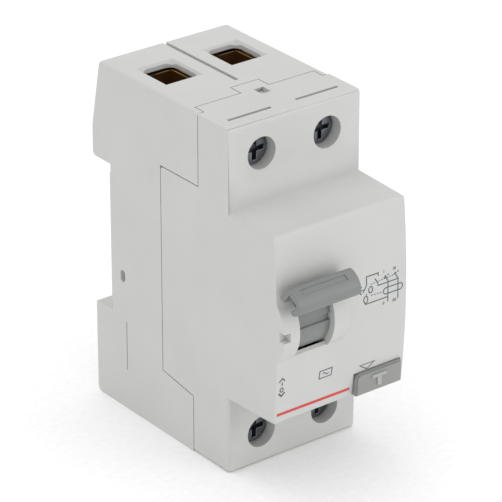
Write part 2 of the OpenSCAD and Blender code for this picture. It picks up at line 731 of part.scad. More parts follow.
// From the root of a contact arm, through the ring, to the top of a load strip
module flexible_lead(side) {
    up = arm_z + arm_t + gap + lead_d / 2 + 0.1;
    root = [side * pole_x, shaft_y + 2.5, up];
    above = [side * lead_x, ring_y, ring_z + 7];
    below = [side * lead_x, ring_y, ring_shelf_z + 0.5];
    end = [side * (pole_x - 2), strip_y + strip_t / 2, load_top + 0.2];
    tube(concat(
        bezier(root, [side * 3.5, root[1], up + 2], [above[0], ring_y, shaft_z], above, 12),
        [[side * lead_x, ring_y, ring_z - 4]],
        tail(bezier(below, below - [0, 0, 3.5], end + [0, 0, 3], end, 8))
    ), lead_d / 2);
}

// ---- Current transformer ----

// Square-section ring around the transformer axis, over part of a turn
module ring_part(inner, outer, z, turn = 360) {
    translate([0, ring_y, ring_z])
        rotate([0, 0, 110])
            rotate_extrude(angle = turn)
                polygon([[inner, z[0]], [outer, z[0]], [outer, z[1]], [inner, z[1]]]);
}

module transformer_case() color(natural_plastic) difference() {
    ring_part(case_id / 2, case_od / 2, [-case_h / 2, case_h / 2 - case_t - 0.05]);
    ring_part(case_id / 2 + case_t, case_od / 2 - case_t, [-case_h / 2 + case_t, case_h / 2]);
}

module transformer_lid() color(natural_plastic)
    ring_part(case_id / 2, case_od / 2, [case_h / 2 - case_t, case_h / 2]);

module transformer_core() color(dark_steel)
    ring_part(case_id / 2 + case_t + 0.1, case_od / 2 - case_t - 0.1,
        [-case_h / 2 + case_t + 0.05, case_h / 2 - case_t - 0.15]);

module transformer_winding() color(enamel_red) difference() {
    ring_part(ring_id / 2, ring_od / 2, [-ring_h / 2, ring_h / 2], 320);
    ring_part(case_id / 2 - 0.1, case_od / 2 + 0.1, [-case_h / 2 - 0.1, case_h / 2 + 0.1]);
}

module secondary_leads() color(wire_blue)
    for (x = [relay_x - 3, relay_x - 0.5]) {
        ring_face = ring_y - sqrt(ring_od * ring_od / 4 - x * x);
        rod_y(0.4, [relay_y + relay_d / 2 + 0.1, ring_face - gap], x, ring_z + 1);
    }

// ---- Trip relay ----

module relay_case() color(green_plastic) difference() {
    block([relay_x - relay_w / 2, relay_x + relay_w / 2], [relay_y - relay_d / 2, relay_y + relay_d / 2],
        [relay_low + 1, relay_top]);
    block([relay_x - relay_w / 2 + relay_wall, relay_x + relay_w / 2 - relay_wall],
        [relay_y - relay_d / 2 + relay_wall, relay_y + relay_d / 2 - relay_wall],
        [relay_low, relay_top - relay_wall]);
    rod_z(plunger_d / 2 + run, [relay_top - 2, relay_top + 1], relay_x, relay_y);
}

module relay_lid() color(black_plastic)
    block([relay_x - relay_w / 2, relay_x + relay_w / 2], [relay_y - relay_d / 2, relay_y + relay_d / 2],
        [relay_low, relay_low + 0.95]);

module relay_yoke() color(dark_steel) {
    side = relay_w / 2 - relay_wall - 0.3;
    deep = relay_d / 2 - relay_wall - 0.6;
    across = [relay_y - deep, relay_y + deep];
    block([relay_x - side, relay_x + side], across, [relay_low + 1.1, relay_low + 2.6]);
    for (x = [relay_x - side, relay_x + side - 1.3])
        block([x, x + 1.3], across, [relay_low + 2.5, flange_z + 1.5]);
}

module relay_coil() color(enamel_red) difference() {
    union() {
        rod_z(2.9, [relay_low + 2.7, flange_z - 2.4], relay_x, relay_y);
        for (z = [relay_low + 2.7, flange_z - 2.9])
            rod_z(3.5, [z, z + 0.5], relay_x, relay_y);
    }
    rod_z(plunger_d / 2 + run, [relay_low + 2, flange_z], relay_x, relay_y);
}

module relay_plunger() color(steel) {
    rod_z(plunger_d / 2, [relay_low + 8, relay_top + 0.3], relay_x, relay_y);
    rod_z(plunger_tip_d / 2, [relay_top, plunger_top], relay_x, relay_y);
    rod_z(plunger_d / 2 + 1, [flange_z, flange_z + plunger_flange_t], relay_x, relay_y);
}

module relay_spring() color(steel)
    translate([relay_x, relay_y, flange_z - 2.35])
        coil(plunger_d / 2 + 0.55, 0.4, 2.3, 3);

// ---- Trip lever ----

module trip_lever() color(natural_plastic) difference() {
    union() {
        rod_x(trip_r, [-shaft_end + 0.2, shaft_end - 0.2], trip_y, trip_z);
        arm_x = [relay_x - 1.5, relay_x + 1.5];
        pad_z = plunger_top + gap;
        block(arm_x, [trip_y - 1, trip_y + 1], [pad_z, trip_z]);
        block(arm_x, [trip_y - 1, relay_y + 2], [pad_z, pad_z + 1.4]);
        catch_x = [-shaft_end + 0.2, -shaft_end + 1];
        block(catch_x, [trip_y, trip_y + 4.4], [trip_z - 1, trip_z + 1]);
        block(catch_x, [trip_y + 3, trip_y + 4.4], [latch_z + 1, trip_z + 1]);
        block(catch_x, [trip_y + 1, trip_y + 4.4], [latch_z + 1, latch_z + 2.2]);
    }
    rod_x(trip_axle_d / 2 + run, [-module_w, module_w], trip_y, trip_z);
}

module trip_axle() color(steel)
    rod_x(trip_axle_d / 2, [-cheek_x, cheek_x], trip_y, trip_z);

// ---- Test button and its circuit ----

// Outline of the cap, inset by a margin: its upper left corner is rounded
function cap_outline(margin) =
    let (left = button_x - button_w / 2, right = button_x + button_w / 2, corner = 1.5)
    concat([[right - margin, button_low + margin], [right - margin, button_top - margin]],
        arc(left + corner, button_top - corner, corner - margin, 90, 180),
        [[left + margin, button_low + margin]]);

module test_button() color(button_grey) {
    left = button_x - button_w / 2;
    right = button_x + button_w / 2;
    front_extrude([button_y + cap_step, button_back], cap_outline(0));
    front_extrude([button_y, button_y + cap_step + 0.1], cap_outline(cap_step));
    block([left + 1, right - 1], [nose_in_y + gap, button_back], [button_top - 0.1, button_top + 1.6]);
    rod_y(stem_d / 2, [button_back - 0.1, stem_end], button_x, stem_z);
}

module test_button_spring() color(steel)
    translate([button_x, button_back + 0.1, stem_z])
        rotate([-90, 0, 0])
            coil(stem_d / 2 + 0.6, 0.4, bracket_y - button_back - 0.2, 5);

module test_blade() color(bronze)
    block([button_x - 4, blade_post], [blade_y, blade_y + blade_t], [stem_z - 1.8, stem_z + 1.8]);

// Body across the device; one wire end bends to the front, the other to the back
module test_resistor() {
    body = [-resistor_l / 2, resistor_l / 2];
    translate([button_x, resistor_y, stem_z]) {
        color(wire_blue)
            rod_x(1.4, body, 0, 0);
        color(silver) {
            tube([[body[0] + 0.1, 0, 0], [body[0] - 0.9, 0, 0], [body[0] - 1.4, 0.5, 0],
                [body[0] - 1.4, resistor_wire, 0]], 0.3);
            tube([[body[1] - 0.1, 0, 0], [body[1] + 0.4, 0, 0], [body[1] + 0.9, -0.5, 0],
                [body[1] + 0.9, blade_y + blade_t + 0.1 - resistor_y, 0]], 0.3);
        }
    }
}

module test_lead() color(wire_brown) {
    start = [button_x - resistor_l / 2 - 1.4, resistor_y + resistor_wire + 0.2, stem_z];
    end = [pole_x - 1, strip_y - 0.7, load_top - 1.3];
    tube(bezier(start, start + [0, 8, 0], end - [0, 8, 0], end, 10), 0.6);
}

// ---- Terminals ----

module terminal_screw(x, z) color(dark_steel) difference() {
    union() {
        rod_y(head_d / 2, [well_y - head_h - 0.05, well_y - 0.05], x, z);
        rod_y(screw_d / 2, [well_y - 0.1, strip_y - tip_gap], x, z);
    }
    for (size = [[5.2, 1.1], [1.1, 5.2]])
        block([x - size[0] / 2, x + size[0] / 2], [well_y - head_h - 1, well_y - head_h + 1.4],
            [z - size[1] / 2, z + size[1] / 2]);
}

// Clamp cage: threaded plate in front, box around the strip and the wire
module terminal_clamp(x, end) color(bronze) {
    mid = end * cage_z;
    half = cage_w / 2;
    difference() {
        block([x - half, x + half], [cage_front, cage_front + cage_d], [mid - half, mid + half]);
        block([x - half + cage_t, x + half - cage_t],
            [cage_front + cage_nut_t, cage_front + cage_d - cage_t], [mid - half - 1, mid + half + 1]);
        rod_y(screw_d / 2 + run, [cage_front - 1, cage_front + cage_nut_t + 1], x, end * term_z);
    }
}

rear_base();
front_cover();
rail_clip();
rail_clip_spring();
toggle_lever();
toggle_axle();
toggle_spring();
crank_pin();
toggle_link();
latch_lever();
latch_pin();
contact_carrier();
contact_axle();
opening_spring();
moving_contact(-pole_x);  // moving_contact_left
moving_contact(pole_x);  // moving_contact_right
contact_spring(-pole_x);  // contact_spring_left
contact_spring(pole_x);  // contact_spring_right
line_strip(-pole_x);  // line_strip_left
line_strip(pole_x);  // line_strip_right
load_strip(-pole_x);  // load_strip_left
load_strip(pole_x);  // load_strip_right
color(wire_brown) flexible_lead(-1);  // flexible_lead_left
color(wire_blue) flexible_lead(1);  // flexible_lead_right
transformer_case();
transformer_lid();
transformer_core();
transformer_winding();
secondary_leads();
relay_case();
relay_lid();
relay_yoke();
relay_coil();
relay_plunger();
relay_spring();
trip_lever();
trip_axle();
test_button();
test_button_spring();
test_blade();
test_resistor();
test_lead();
terminal_screw(-pole_x, term_z);  // terminal_screw_top_left
terminal_screw(pole_x, term_z);  // terminal_screw_top_right
terminal_screw(-pole_x, -term_z);  // terminal_screw_bottom_left
terminal_screw(pole_x, -term_z);  // terminal_screw_bottom_right
terminal_clamp(-pole_x, 1);  // terminal_clamp_top_left
terminal_clamp(pole_x, 1);  // terminal_clamp_top_right
terminal_clamp(-pole_x, -1);  // terminal_clamp_bottom_left
terminal_clamp(pole_x, -1);  // terminal_clamp_bottom_right
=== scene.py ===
"""Two-module, two-pole residual current device: finishes, printed marks, light and camera.

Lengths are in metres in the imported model's frame: X across the width, Z up the long side,
and the front faces -Y.
"""

import json
import math

import bmesh
import bpy
import numpy as np
from mathutils import Matrix, Vector


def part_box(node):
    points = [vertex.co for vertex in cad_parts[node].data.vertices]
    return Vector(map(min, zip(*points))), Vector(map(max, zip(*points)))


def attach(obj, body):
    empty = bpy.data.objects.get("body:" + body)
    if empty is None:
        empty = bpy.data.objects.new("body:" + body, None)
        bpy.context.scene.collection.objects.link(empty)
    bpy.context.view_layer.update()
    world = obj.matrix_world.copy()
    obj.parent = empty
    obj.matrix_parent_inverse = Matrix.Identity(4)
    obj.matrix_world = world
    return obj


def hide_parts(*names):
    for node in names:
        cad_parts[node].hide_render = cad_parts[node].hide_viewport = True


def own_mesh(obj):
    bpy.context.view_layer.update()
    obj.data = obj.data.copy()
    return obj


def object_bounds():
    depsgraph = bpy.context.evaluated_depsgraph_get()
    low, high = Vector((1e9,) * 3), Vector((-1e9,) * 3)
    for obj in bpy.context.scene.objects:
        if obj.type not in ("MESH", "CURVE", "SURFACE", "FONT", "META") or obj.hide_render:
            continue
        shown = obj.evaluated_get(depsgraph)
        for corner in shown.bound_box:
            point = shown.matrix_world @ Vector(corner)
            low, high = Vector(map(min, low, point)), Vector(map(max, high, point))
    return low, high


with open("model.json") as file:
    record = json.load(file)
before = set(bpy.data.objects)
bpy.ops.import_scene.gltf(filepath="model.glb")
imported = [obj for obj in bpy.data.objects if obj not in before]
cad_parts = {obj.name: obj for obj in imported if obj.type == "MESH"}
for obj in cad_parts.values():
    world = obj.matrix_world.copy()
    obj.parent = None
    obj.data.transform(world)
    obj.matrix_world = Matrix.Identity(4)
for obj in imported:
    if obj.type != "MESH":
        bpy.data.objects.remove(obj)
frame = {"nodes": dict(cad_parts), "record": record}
cad_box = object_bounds()
nodes = frame["nodes"]

MM = 0.001
# A Wave texture of Scale 1 repeats about twenty times in a unit of length
WAVES_PER_UNIT = 20

# ---- Node and material helpers ----


def linear(code):
    """The linear RGBA of an sRGB hex colour."""
    values = np.array([int(code[i : i + 2], 16) for i in (1, 3, 5)]) / 255
    low = values / 12.92
    high = ((values + 0.055) / 1.055) ** 2.4
    return (*np.where(values <= 0.04045, low, high).tolist(), 1.0)


def per_mm(size):
    """A texture's Scale for features of that many millimetres."""
    return 1 / (size * MM)


def add(tree, kind, settings=None, links=None):
    """Adds a node. Settings are sockets or properties, stops are a colour ramp's, links go to sockets."""
    node = tree.nodes.new(kind)
    for key, value in (settings or {}).items():
        if key == "stops":
            ramp = node.color_ramp.elements
            while len(ramp) < len(value):
                ramp.new(1.0)
            for stop, (place, shade) in zip(ramp, value):
                stop.position = place
                stop.color = shade
        elif isinstance(key, int) or key[0].isupper():
            node.inputs[key].default_value = value
        else:
            setattr(node, key, value)
    for key, source in (links or {}).items():
        tree.links.new(source, node.inputs[key])
    return node


def start(name, constants):
    """A new material with its tree, shader and Object coordinates; constants go on the shader's sockets."""
    material = bpy.data.materials.new(name)
    material.use_nodes = True
    tree = material.node_tree
    tree.nodes.clear()
    shader = add(tree, "ShaderNodeBsdfPrincipled", constants)
    add(tree, "ShaderNodeOutputMaterial", None, {"Surface": shader.outputs["BSDF"]})
    place = add(tree, "ShaderNodeTexCoord").outputs["Object"]
    return material, tree, shader, place


def moulded(name, base, shade, rough=(0.42, 0.56), grain=0.32, depth=0.012, constants=None):
    """Injection-moulded plastic: a spark-eroded grain, slow drifts of tone, and patches of polish.

    A real eroded grain is about 0.03 mm across. The grain is in millimetres, and about ten times as
    coarse as that, so that it shows.
    """
    material, tree, shader, place = start(name, {"IOR": 1.5, **(constants or {})})
    drift = add(tree, "ShaderNodeTexNoise", {"Scale": per_mm(18), "Detail": 3.0}, {"Vector": place})
    fine = add(tree, "ShaderNodeTexNoise", {"Scale": per_mm(0.6), "Detail": 2.0}, {"Vector": place})
    both = add(
        tree,
        "ShaderNodeMath",
        {"operation": "MULTIPLY_ADD", 1: 0.3},
        {0: fine.outputs["Fac"], 2: drift.outputs["Fac"]},
    )
    tone = add(
        tree,
        "ShaderNodeValToRGB",
        {"stops": [(0.35, linear(shade)), (0.85, linear(base))]},
        {"Fac": both.outputs[0]},
    )
    polish = add(tree, "ShaderNodeTexNoise", {"Scale": per_mm(6), "Detail": 4.0}, {"Vector": place})
    gloss = add(
        tree,
        "ShaderNodeMapRange",
        {"From Min": 0.3, "From Max": 0.7, "To Min": rough[0], "To Max": rough[1]},
        {"Value": polish.outputs["Fac"]},
    )
    pits = add(
        tree,
        "ShaderNodeTexNoise",
        {"Scale": per_mm(grain), "Detail": 3.0, "Roughness": 0.6},
        {"Vector": place},
    )
    bump = add(
        tree,
        "ShaderNodeBump",
        {"Strength": 0.35, "Distance": depth * MM},
        {"Height": pits.outputs["Fac"]},
    )
    tree.links.new(tone.outputs["Color"], shader.inputs["Base Color"])
    tree.links.new(gloss.outputs["Result"], shader.inputs["Roughness"])
    tree.links.new(bump.outputs["Normal"], shader.inputs["Normal"])
    return material


def metal(name, base, tarnish, rough=(0.25, 0.4), streak=(1.0, 1.0, 1.0), grain=0.25, spots=4.0):
    """Worked metal: fine marks stretched along one axis, tarnish in patches, and gloss that follows both.

    The marks are a few hundredths of a millimetre apart on the real metal, and drawn at grain mm.
    """
    material, tree, shader, place = start(name, {"Metallic": 1.0})
    stretched = add(tree, "ShaderNodeMapping", {"Scale": streak}, {"Vector": place})
    marks = add(
        tree,
        "ShaderNodeTexNoise",
        {"Scale": per_mm(grain), "Detail": 4.0, "Roughness": 0.65},
        {"Vector": stretched.outputs["Vector"]},
    )
    patches = add(
        tree,
        "ShaderNodeTexNoise",
        {"Scale": per_mm(spots), "Detail": 5.0, "Roughness": 0.6},
        {"Vector": place},
    )
    blend = add(
        tree,
        "ShaderNodeMath",
        {"operation": "MULTIPLY_ADD", 1: 0.35},
        {0: marks.outputs["Fac"], 2: patches.outputs["Fac"]},
    )
    tone = add(
        tree,
        "ShaderNodeValToRGB",
        {"stops": [(0.45, linear(tarnish)), (0.8, linear(base))]},
        {"Fac": blend.outputs[0]},
    )
    gloss = add(
        tree,
        "ShaderNodeMapRange",
        {"From Min": 0.4, "From Max": 0.9, "To Min": rough[1], "To Max": rough[0]},
        {"Value": blend.outputs[0]},
    )
    bump = add(
        tree,
        "ShaderNodeBump",
        {"Strength": 0.3, "Distance": 0.006 * MM},
        {"Height": marks.outputs["Fac"]},
    )
    tree.links.new(tone.outputs["Color"], shader.inputs["Base Color"])
    tree.links.new(gloss.outputs["Result"], shader.inputs["Roughness"])
    tree.links.new(bump.outputs["Normal"], shader.inputs["Normal"])
    return material


# ---- Materials ----


def housing_plastic():
    """Light grey moulded polyamide: an even, matt, faintly orange-peeled skin."""
    return moulded("polyamide_moulded_light_grey", "#C3C4C2", "#BEBFBD", (0.46, 0.58))


def handle_plastic():
    """Mid grey moulded polyamide: satin, a little glossier where fingers polish it."""
    return moulded("polyamide_satin_mid_grey", "#7C7F7D", "#747775", (0.34, 0.48), 0.4, 0.008)


def button_plastic():
    """Grey moulded polyamide of the button: slightly lighter than the handle, fine satin."""
    return moulded("polyamide_satin_button_grey", "#8F908D", "#878986", (0.38, 0.5), 0.4, 0.008)


def black_plastic():
    """Glass-filled black polyamide: dull, with the fibres just showing as a dry bloom."""
    return moulded("polyamide_glass_filled_black", "#313336", "#26282B", (0.5, 0.7), 0.25, 0.02)


def natural_plastic():
    """Uncoloured nylon: milky, waxy and slightly yellow."""
    wax = {"Subsurface Weight": 0.1, "Subsurface Scale": 0.5 * MM}
    return moulded("nylon_moulded_natural", "#E2DFCF", "#D6D2BE", (0.4, 0.55), 0.5, 0.01, wax)


def relay_plastic():
    """Dull green moulded polyester of the relay's case."""
    return moulded("polyester_moulded_green", "#6B8273", "#5D7465", (0.3, 0.42), 0.4, 0.006)


def zinc_steel():
    """Bright zinc-plated steel: bluish white with drawing marks along the pins."""
    return metal("steel_zinc_plated_bright", "#CFD2D6", "#B9BDC2", (0.2, 0.35), (0.15, 1, 1))


def dark_steel():
    """Black-passivated zinc steel: a smoky grey that lightens where the tool rubs."""
    return metal("steel_black_passivated", "#77797D", "#595B5F", (0.3, 0.46), (1, 0.3, 1), 0.3, 3.5)


def spring_steel():
    """Drawn spring wire: grey with a soft oily gloss."""
    return metal("steel_drawn_wire", "#B9BCC0", "#84878C", (0.22, 0.34), (1, 1, 1), 0.2, 1.2)


def copper_strip():
    """Rolled copper: warm, with rolling lines and brown handling stains."""
    return metal("copper_rolled_strip", "#D99A78", "#A8684A", (0.22, 0.4), (1, 1, 0.1), 0.3, 5.0)


def bronze_sheet():
    """Passivated bronze of the clamps: brownish yellow, dulled by its coating."""
    return metal("bronze_pressed_passivated", "#AB8854", "#8A6B42", (0.28, 0.45), (1, 0.2, 1), 0.3, 4.0)


def lacquered_resistor():
    """A film resistor's glossy pale blue lacquer with four painted rings across its length."""
    material, tree, shader, place = start("resistor_lacquer_banded", {"IOR": 1.52, "Roughness": 0.22})
    low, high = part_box("test_resistor")
    along = add(tree, "ShaderNodeSeparateXYZ", None, {"Vector": place})
    share = add(
        tree,
        "ShaderNodeMapRange",
        {"From Min": low.x, "From Max": high.x},
        {"Value": along.outputs["X"]},
    )
    body = linear("#7FA7B8")
    rings = [("#7A4A22", 0.30), ("#1E1E1E", 0.41), ("#C2571F", 0.52), ("#B89A3C", 0.66)]
    stops = [(0.0, body)]
    for code, place_along in rings:
        stops += [(place_along, linear(code)), (place_along + 0.045, body)]
    paint = add(
        tree,
        "ShaderNodeValToRGB",
        {"stops": stops},
        {"Fac": share.outputs["Result"]},
    )
    paint.color_ramp.interpolation = "CONSTANT"
    ripple = add(tree, "ShaderNodeTexNoise", {"Scale": per_mm(0.8)}, {"Vector": place})
    bump = add(
        tree,
        "ShaderNodeBump",
        {"Strength": 0.3, "Distance": 0.02 * MM},
        {"Height": ripple.outputs["Fac"]},
    )
    tree.links.new(paint.outputs["Color"], shader.inputs["Base Color"])
    tree.links.new(bump.outputs["Normal"], shader.inputs["Normal"])
    return material


def core_tape():
    """Nanocrystalline tape wound into a core: dark silvery rings about the core's axis.

    The real tape is 0.02 mm thick, and the rings are drawn about 0.35 mm apart so that they show.
    """
    material, tree, shader, place = start("iron_tape_wound", {"Metallic": 1.0, "Roughness": 0.42})
    low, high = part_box("transformer_core")
    centred = add(tree, "ShaderNodeMapping", {"Location": -(low + high) / 2}, {"Vector": place})
    rings = add(
        tree,
        "ShaderNodeTexWave",
        {
            "wave_type": "RINGS",
            "rings_direction": "Z",
            "Scale": per_mm(0.35) / WAVES_PER_UNIT,
            "Distortion": 0.3,
            "Detail": 1.0,
        },
        {"Vector": centred.outputs["Vector"]},
    )
    tone = add(
        tree,
        "ShaderNodeValToRGB",
        {"stops": [(0.2, linear("#4C4F53")), (0.75, linear("#8E9194"))]},
        {"Fac": rings.outputs["Fac"]},
    )
    bump = add(
        tree,
        "ShaderNodeBump",
        {"Strength": 0.6, "Distance": 0.05 * MM},
        {"Height": rings.outputs["Fac"]},
    )
    tree.links.new(tone.outputs["Color"], shader.inputs["Base Color"])
    tree.links.new(bump.outputs["Normal"], shader.inputs["Normal"])
    return material


def wire_turns(name, node, angular):
    """Enamelled copper wire laid turn by turn: amber gloss, with painted shade darkening the gaps between
    the turns.

    On the ring the turns follow the angle about its axis, 150 of them; on the coil they follow the
    height, 0.35 mm apart.
    """
    constants = {"Metallic": 0.55, "Roughness": 0.24, "Coat Weight": 0.6, "Coat Roughness": 0.12}
    material, tree, shader, place = start(name, constants)
    low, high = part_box(node)
    middle = (low + high) / 2
    centred = add(tree, "ShaderNodeMapping", {"Location": -middle}, {"Vector": place})
    axes = add(tree, "ShaderNodeSeparateXYZ", None, {"Vector": centred.outputs["Vector"]})
    if angular:
        angle = add(
            tree,
            "ShaderNodeMath",
            {"operation": "ARCTAN2"},
            {0: axes.outputs["Y"], 1: axes.outputs["X"]},
        )
        along, turns = angle.outputs[0], 150.0
    else:
        along, turns = axes.outputs["Z"], 2 * math.pi * per_mm(0.35)
    phase = add(tree, "ShaderNodeMath", {"operation": "MULTIPLY", 1: turns}, {0: along})
    wave = add(tree, "ShaderNodeMath", {"operation": "SINE"}, {0: phase.outputs[0]})
    lift = add(tree, "ShaderNodeMapRange", {"From Min": -1.0}, {"Value": wave.outputs[0]})
    # painted shade: the colour darkens where the wire dips between two turns
    tone = add(
        tree,
        "ShaderNodeValToRGB",
        {"stops": [(0.05, linear("#4A1E0C")), (0.55, linear("#B5602C"))]},
        {"Fac": lift.outputs["Result"]},
    )
    bump = add(
        tree,
        "ShaderNodeBump",
        {"Strength": 0.8, "Distance": 0.08 * MM},
        {"Height": lift.outputs["Result"]},
    )
    tree.links.new(tone.outputs["Color"], shader.inputs["Base Color"])
    tree.links.new(bump.outputs["Normal"], shader.inputs["Normal"])
    return material


def blue_insulation():
    """Blue PVC wire insulation: smooth and slightly waxy."""
    return moulded("pvc_insulation_blue", "#3F78B5", "#356BA6", (0.28, 0.4), 1.2, 0.01)


def brown_insulation():
    """Brown PVC wire insulation: smooth and slightly waxy."""
    return moulded("pvc_insulation_brown", "#7A4A30", "#6B3F28", (0.28, 0.4), 1.2, 0.01)


def pad_ink(name, base, shade):
    """Pad-printed ink: a thin satin film, a little thinner in places."""
    return moulded(name, base, shade, (0.35, 0.5), 0.5, 0.004)


FINISHES = {
    "housing": housing_plastic(),
    "handle": handle_plastic(),
    "button": button_plastic(),
    "black_plastic": black_plastic(),
    "natural_plastic": natural_plastic(),
    "relay_plastic": relay_plastic(),
    "steel": zinc_steel(),
    "dark_steel": dark_steel(),
    "spring_steel": spring_steel(),
    "copper": copper_strip(),
    "bronze": bronze_sheet(),
    "core_metal": core_tape(),
    "enamel_wire": wire_turns("copper_enamelled_ring_winding", "transformer_winding", True),
    "blue_insulation": blue_insulation(),
    "brown_insulation": brown_insulation(),
    "resistor_body": lacquered_resistor(),
}
COIL_WIRE = wire_turns("copper_enamelled_coil", "relay_coil", False)
GREY_INK = pad_ink("ink_pad_printed_grey", "#55585C", "#606367")
RED_INK = pad_ink("ink_pad_printed_red", "#C43A31", "#C84238")


# ---- Surfaces ----


def new_piece(name, verts, faces, material, body):
    """A new piece from arrays of corners and four-cornered faces, riding on a body."""
    mesh = bpy.data.meshes.new(name)
    mesh.from_pydata(verts.tolist(), [], faces.tolist())
    mesh.materials.append(material)
    mesh.update()
    piece = bpy.data.objects.new(name, mesh)
    bpy.context.collection.objects.link(piece)
    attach(piece, body)
    return piece


def finely(points, step):
    """The same open line with extra points, so that none lie more than step apart."""
    points = np.asarray(points, float)
    spans = np.linalg.norm(np.diff(points, axis=0), axis=1)
    counts = np.maximum(1, np.ceil(spans / step)).astype(int)
    runs = [
        points[i] + np.arange(n)[:, None] / n * (points[i + 1] - points[i])
        for i, n in enumerate(counts)
    ]
    return np.vstack([*runs, points[-1:]])


def ribbon(points, width, closed=False):
    """The two edges of a flat line: each point moves both ways along its mitre.

    The mitre halves the angle between the normals of the runs before and after the point. The point
    moves half the width over the cosine of the angle between the mitre and either normal.
    """
    points = np.asarray(points, float)
    if closed:
        before = np.roll(points, 1, axis=0)
        after = np.roll(points, -1, axis=0)
    else:
        before = np.vstack([2 * points[0] - points[1], points[:-1]])
        after = np.vstack([points[1:], 2 * points[-1] - points[-2]])
    come = points - before
    go = after - points
    come /= np.linalg.norm(come, axis=1)[:, None]
    go /= np.linalg.norm(go, axis=1)[:, None]
    normal_in = np.stack([-come[:, 1], come[:, 0]], axis=1)
    normal_out = np.stack([-go[:, 1], go[:, 0]], axis=1)
    mitre = normal_in + normal_out
    mitre /= np.maximum(np.linalg.norm(mitre, axis=1), 1e-9)[:, None]
    reach = width / 2 / np.maximum((mitre * normal_in).sum(axis=1), 0.35)
    return points + mitre * reach[:, None], points - mitre * reach[:, None]


def strip_shell(left, right, outer, inner, closed):
    """A closed thin shell between two edges: four corners at each station, joined to the next four.

    A closed line joins its last station to its first; an open one has a cap at each end.
    """
    stations = len(left)
    verts = np.stack(
        [outer(left), outer(right), inner(right), inner(left)],
        axis=1,
    ).reshape(-1, 3)
    along = np.arange(stations if closed else stations - 1)
    corner = np.arange(4)
    here = (along[:, None] * 4 + corner).ravel()
    there = (((along + 1) % stations)[:, None] * 4 + corner).ravel()
    beside = (along[:, None] * 4 + (corner + 1) % 4).ravel()
    across = (((along + 1) % stations)[:, None] * 4 + (corner + 1) % 4).ravel()
    faces = np.stack([here, beside, across, there], axis=1)
    if not closed:
        end = (stations - 1) * 4
        caps = np.array([[3, 2, 1, 0], [end, end + 1, end + 2, end + 3]])
        faces = np.vstack([faces, caps])
    return verts, faces


# The nose's front is part of a cylinder about an axis along X. Its crown lies furthest forward.
CROWN_Y = -61.0 * MM
CROWN_Z = -1.5 * MM
CROWN_R = 203.0 * MM


def on_nose(lift):
    """A map from flat (x, z) in millimetres to points a lift in front of the nose's crowned face.

    The face lies behind its crown by R less the root of R squared less z squared from the crown.
    """

    def place(flat):
        x, z = flat[:, 0] * MM, flat[:, 1] * MM
        drop = CROWN_R - np.sqrt(CROWN_R**2 - (z - CROWN_Z) ** 2)
        return np.stack([x, CROWN_Y + drop - lift * MM, z], axis=1)

    return place


def on_plane(front, lift):
    """A map from flat (x, z) in millimetres to points a lift in front of a plane."""

    def place(flat):
        return np.stack(
            [flat[:, 0] * MM, np.full(len(flat), front - lift * MM), flat[:, 1] * MM], axis=1
        )

    return place


def marks(name, lines, material, body, slot, outer, inner):
    """One piece from many lines, each (points, width, closed), laid between two depths."""
    verts, faces, count = [], [], 0
    for points, width, closed in lines:
        if not closed:
            points = finely(points, 1.0)
        left, right = ribbon(points, width, closed)
        v, f = strip_shell(left, right, outer, inner, closed)
        verts.append(v)
        faces.append(f + count)
        count += len(v)
    piece = new_piece(name, np.vstack(verts), np.vstack(faces), material, body)
    shell = bmesh.new()
    shell.from_mesh(piece.data)
    bmesh.ops.recalc_face_normals(shell, faces=shell.faces)
    shell.to_mesh(piece.data)
    shell.free()
    return piece


def ring_line(x, z, across, up, corner_count=28):
    """An ellipse about (x, z): across times the cosine, and up times the sine, of an even angle."""
    a = np.linspace(0, 2 * math.pi, corner_count, endpoint=False)
    return np.stack([x + across * np.cos(a), z + up * np.sin(a)], axis=1)


def pill_line(left, right, low, high, steps=10):
    """A long rounded ring: two half circles, half its height in radius, joined by straight sides."""
    r = (high - low) / 2
    middle = (high + low) / 2
    a = np.linspace(-math.pi / 2, math.pi / 2, steps)
    far = np.stack([right - r + r * np.cos(a), middle + r * np.sin(a)], axis=1)
    near = np.stack([left + r - r * np.cos(a), middle - r * np.sin(a)], axis=1)
    return np.vstack([far, near])


def dashes(start_point, end_point, count, share=0.55):
    """Short lines in a row from one point to another, each filling a share of its step."""
    a, b = np.array(start_point, float), np.array(end_point, float)
    step = (b - a) / count
    return [[a + i * step, a + (i + share) * step] for i in range(count)]


# ---- Printed marks ----

# How far the ink film reaches in front of the face and behind it, in millimetres
FILM = (0.03, -0.05)


def printed(name, lines, material):
    """Ink on the nose: lines with a common width, in a film just proud of the crown."""
    return marks(name, lines, material, "housing", "housing", on_nose(FILM[0]), on_nose(FILM[1]))


def red_stripe():
    """The coloured line across the foot of the nose, up to the button."""
    return printed("red_stripe", [([(-17.3, -20.2), (2.95, -20.25)], 0.68, False)], RED_INK)


def switch_marks():
    """Arrow up over a bar for on, ring over an arrow down for off."""
    lines = [
        ([(-17.15, -11.95), (-16.3, -11.15), (-15.55, -11.95)], 0.32, False),
        ([(-16.3, -12.1), (-16.3, -12.95)], 0.28, False),
        (ring_line(-16.4, -14.0, 0.42, 0.5), 0.26, True),
        ([(-17.2, -14.75), (-16.4, -15.55), (-15.5, -14.75)], 0.42, False),
    ]
    return printed("switch_marks", lines, GREY_INK)


def wave_mark():
    """A sine wave in a slanted box, the sign for alternating residual currents."""
    t = np.linspace(0, 2 * math.pi, 25)
    wave = np.stack([-5.05 + 1.6 * t / (2 * math.pi), -13.85 + 0.28 * np.sin(t)], axis=1)
    box = [(-6.05, -14.75), (-2.65, -14.75), (-2.45, -12.95), (-5.85, -12.95)]
    lines = [(wave, 0.22, False), (np.array(box), 0.24, True)]
    return printed("wave_mark", lines, GREY_INK)


def test_pointer():
    """An outlined triangle that points down at the test button."""
    corners = np.array([(5.5, -15.3), (9.6, -15.3), (7.55, -16.65)])
    return printed("test_pointer", [(corners, 0.24, True)], GREY_INK)


